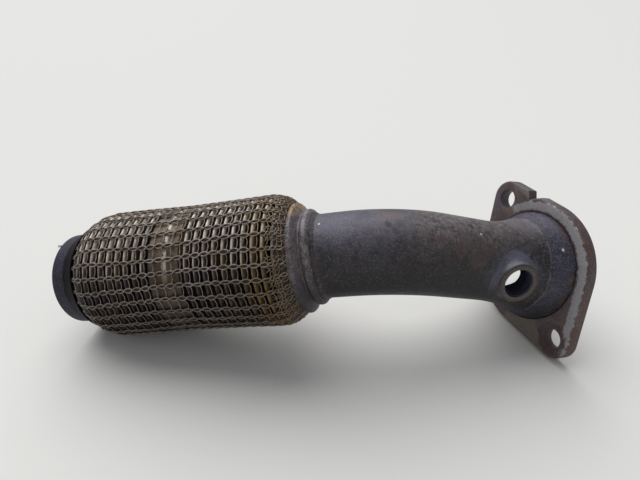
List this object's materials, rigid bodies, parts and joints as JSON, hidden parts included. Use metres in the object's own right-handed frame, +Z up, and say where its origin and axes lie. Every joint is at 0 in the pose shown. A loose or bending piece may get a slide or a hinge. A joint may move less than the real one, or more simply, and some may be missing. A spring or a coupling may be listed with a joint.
{
  "type": "exhaust front pipe",
  "caption": "Exhaust front pipe with a knitted flexible coupling, a bent flared tube, a sensor boss and a two-bolt flange.",
  "frame": {"origin": "middle of the part's outline seen from above, on the floor that it lies on", "axes": "+X along the flexible coupling's axis in plan, from the cut collar towards the flange; +Z up from the floor; +Y away from the sensor boss's side"},
  "size_m": [0.3218, 0.1364, 0.0994],
  "materials": {
    "collar_steel": "dark scaled steel collar",
    "weld_steel": "dull weld metal",
    "bellows_steel": "dull stainless sheet, stained brown",
    "liner_steel": "stainless strip, sooted",
    "knit_wire": "dull stainless wire, warm grey-brown",
    "cap_steel": "dark heat-tinted stainless steel",
    "pipe_steel": "heat-tinted satin stainless steel",
    "boss_steel": "heat-tinted turned steel",
    "flange_steel": "scaled and lightly rusted steel plate"
  },
  "bodies": {
    "root": {"left_cap": "collar_steel", "left_cap_weld": "weld_steel", "pipe_stub": "collar_steel", "liner": "liner_steel", "bellows": "bellows_steel", "knit_mesh": "knit_wire", "right_cap": "cap_steel", "right_cap_weld": "weld_steel", "front_pipe": "pipe_steel", "sensor_boss": "boss_steel", "sensor_boss_weld": "weld_steel", "flange": "flange_steel", "flange_weld": "weld_steel"}
  },
  "joints": []
}
